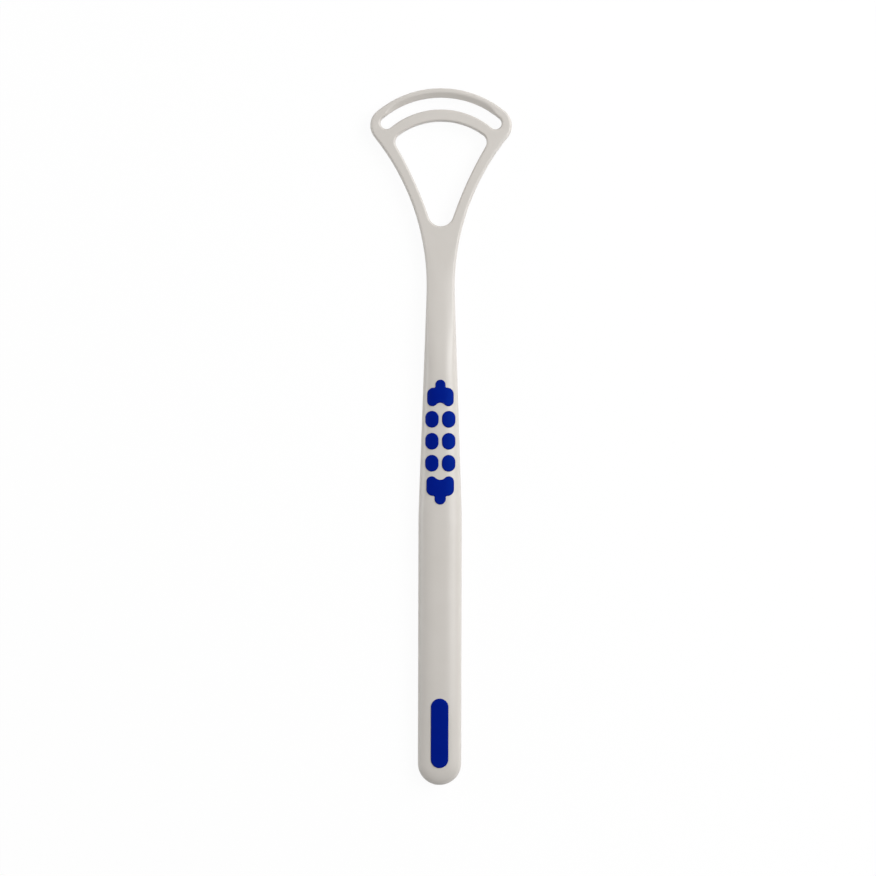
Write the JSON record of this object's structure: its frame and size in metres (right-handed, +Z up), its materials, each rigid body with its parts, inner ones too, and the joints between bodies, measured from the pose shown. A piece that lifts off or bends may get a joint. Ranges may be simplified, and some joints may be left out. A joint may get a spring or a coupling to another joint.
{
  "type": "tongue scraper",
  "caption": "Flat hand-held tongue scraper: a long crowned handle with soft grip pads, and a fan-shaped open head with an outer bevelled scraping arc, a slot and an inner arc.",
  "frame": {"origin": "middle of the bounding box in X and Y, on the surface that the handle's back lies on", "axes": "+X across the width, +Y along the handle towards the scraping head, +Z up through the thickness towards the face with the grip pads"},
  "size_m": [0.0346, 0.17, 0.006],
  "materials": {
    "white_plastic": "off-white moulded polypropylene with a soft satin gloss",
    "blue_rubber": "deep blue soft-touch thermoplastic rubber, matt"
  },
  "bodies": {
    "root": {"moulding": "white_plastic", "upper_arrow_pad": "blue_rubber", "left_dot_1": "blue_rubber", "right_dot_1": "blue_rubber", "left_dot_2": "blue_rubber", "right_dot_2": "blue_rubber", "left_dot_3": "blue_rubber", "right_dot_3": "blue_rubber", "lower_arrow_pad": "blue_rubber", "tail_pad": "blue_rubber"}
  },
  "joints": []
}
